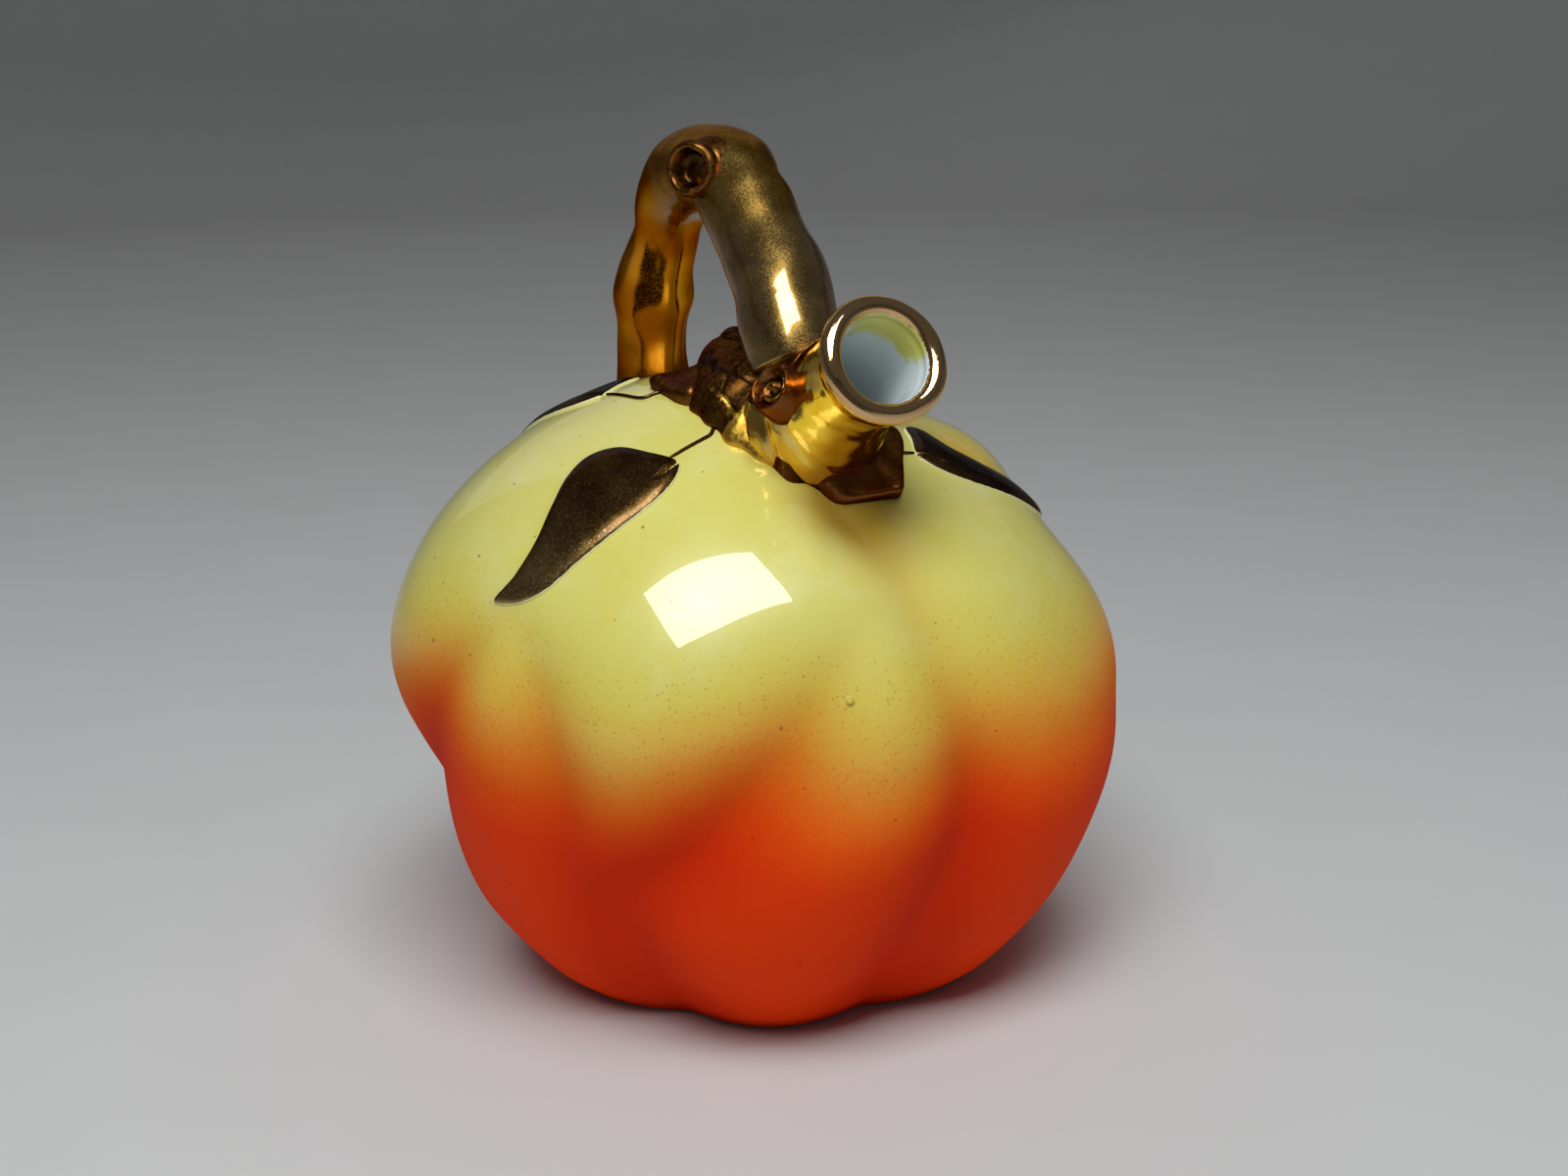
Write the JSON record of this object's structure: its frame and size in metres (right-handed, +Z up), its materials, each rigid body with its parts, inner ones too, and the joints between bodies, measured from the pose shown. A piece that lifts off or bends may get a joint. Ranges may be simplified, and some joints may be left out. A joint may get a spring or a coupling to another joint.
{
  "type": "pumpkin jug",
  "caption": "Glazed ceramic pumpkin jug, yellow fading to orange, with a short pouring spout, a branch-shaped carrying handle and raised leaves in gold lustre.",
  "frame": {"origin": "middle of the flat underside", "axes": "+Z up, -Y towards the spout, +X to the right when the spout faces the viewer"},
  "size_m": [0.1573, 0.156, 0.1804],
  "materials": {
    "body_glaze": "high gloss glaze, yellow at the top fading to orange-red at the foot",
    "spout_gold": "bright gold lustre over glaze; white glaze inside the bore",
    "branch_gold": "dark bronze-gold lustre over glaze",
    "bark_lustre": "rough bark in dark brown-gold lustre",
    "leaf_lustre": "dark bronze lustre with a fine sparkle"
  },
  "bodies": {
    "root": {"body_shell": "body_glaze", "spout_tube": "spout_gold", "bark_collar": "bark_lustre", "branch_handle": "branch_gold", "pruned_stub": "branch_gold", "collar_knot": "bark_lustre", "sepal_left": "bark_lustre", "sepal_right": "bark_lustre", "sepal_back": "bark_lustre", "sepal_front": "bark_lustre", "leaf_front_left": "leaf_lustre", "stem_front_left": "leaf_lustre", "leaf_front_right": "leaf_lustre", "stem_front_right": "leaf_lustre", "leaf_back_left": "leaf_lustre", "stem_back_left": "leaf_lustre", "leaf_back_right": "leaf_lustre", "stem_back_right": "leaf_lustre"}
  },
  "joints": []
}
